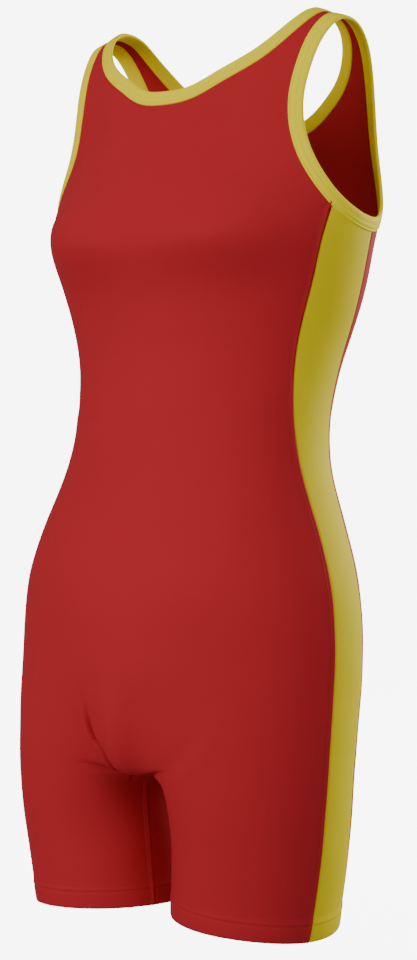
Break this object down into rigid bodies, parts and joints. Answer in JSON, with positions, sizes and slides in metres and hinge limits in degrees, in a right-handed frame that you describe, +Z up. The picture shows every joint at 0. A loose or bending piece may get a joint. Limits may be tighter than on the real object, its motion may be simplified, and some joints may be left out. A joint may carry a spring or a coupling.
{
  "type": "wrestling singlet",
  "caption": "Close-fitting sleeveless one-piece with short legs, contrast side panels, and bound scoop neck and armholes, in its hollow worn shape.",
  "frame": {"origin": "in the middle of the body from side to side, level with the tops of the shoulder straps, on the line that the shoulders hold up", "axes": "+Z up the body, the front faces -Y, and the wearer's left is +X"},
  "size_m": [0.335, 0.2634, 0.8073],
  "materials": {
    "red_knit": "smooth stretch knit with a soft sheen",
    "yellow_knit": "smooth stretch knit with a soft sheen",
    "binding_knit": "smooth stretch knit, folded and topstitched"
  },
  "bodies": {
    "root": {"front_panel": "red_knit", "back_panel": "red_knit", "side_panel_left": "yellow_knit", "side_panel_right": "yellow_knit", "neck_binding": "binding_knit", "armhole_binding_left": "binding_knit", "armhole_binding_right": "binding_knit"}
  },
  "joints": []
}
